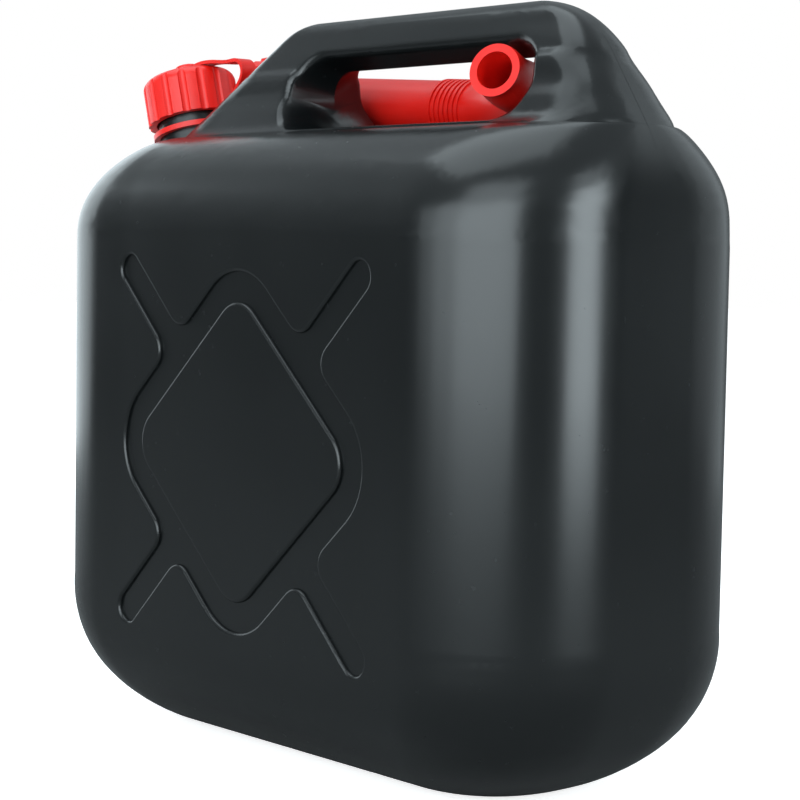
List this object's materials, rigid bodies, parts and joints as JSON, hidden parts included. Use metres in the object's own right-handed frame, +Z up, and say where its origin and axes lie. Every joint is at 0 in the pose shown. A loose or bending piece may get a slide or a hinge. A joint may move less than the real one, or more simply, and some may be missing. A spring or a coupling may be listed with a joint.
{
  "type": "fuel jerrycan",
  "caption": "Upright blow-moulded fuel can with a carrying handle, a leaning neck with a tethered screw cap, and a bent pouring spout stored behind the handle.",
  "frame": {"origin": "centre of the flat base, on the surface the can stands on", "axes": "+X along the can's length from the neck end to the plain end, +Y towards the side where the spout is stored, +Z up"},
  "size_m": [0.3229, 0.1552, 0.315],
  "materials": {
    "body_plastic": "satin black polyethylene, finely textured by the mould",
    "red_plastic": "smooth bright red polyethylene",
    "seal_rubber": "matt black fuel-proof rubber"
  },
  "bodies": {
    "can": {"can_body": "body_plastic", "cap_tether": "red_plastic", "pour_spout": "red_plastic"},
    "cap_liner": {"cap_seal": "seal_rubber"},
    "cap": {"screw_cap": "red_plastic"},
    "nut": {"spout_nut": "red_plastic"}
  },
  "joints": [
    {"name": "cap_lift", "type": "slide", "parent": "can", "child": "cap_liner", "axis": [-0.2756, 0, 0.9613], "range_m": [0, 0.0081], "deforming": ["cap_tether"]},
    {"name": "cap_turn", "type": "hinge", "parent": "cap_liner", "child": "cap", "pos_m": [-0.134, 0, 0.265], "axis": [-0.2756, 0, 0.9613], "range_deg": [0, 720]},
    {"name": "nut_turn", "type": "hinge", "parent": "can", "child": "nut", "pos_m": [-0.1183, 0.045, 0.28579], "axis": [0.998, 0, -0.0628], "continuous": true}
  ],
  "couplings": [
    {"joint": "cap_lift", "follows": "cap_turn", "m_per_rad": 0.00063662}
  ]
}
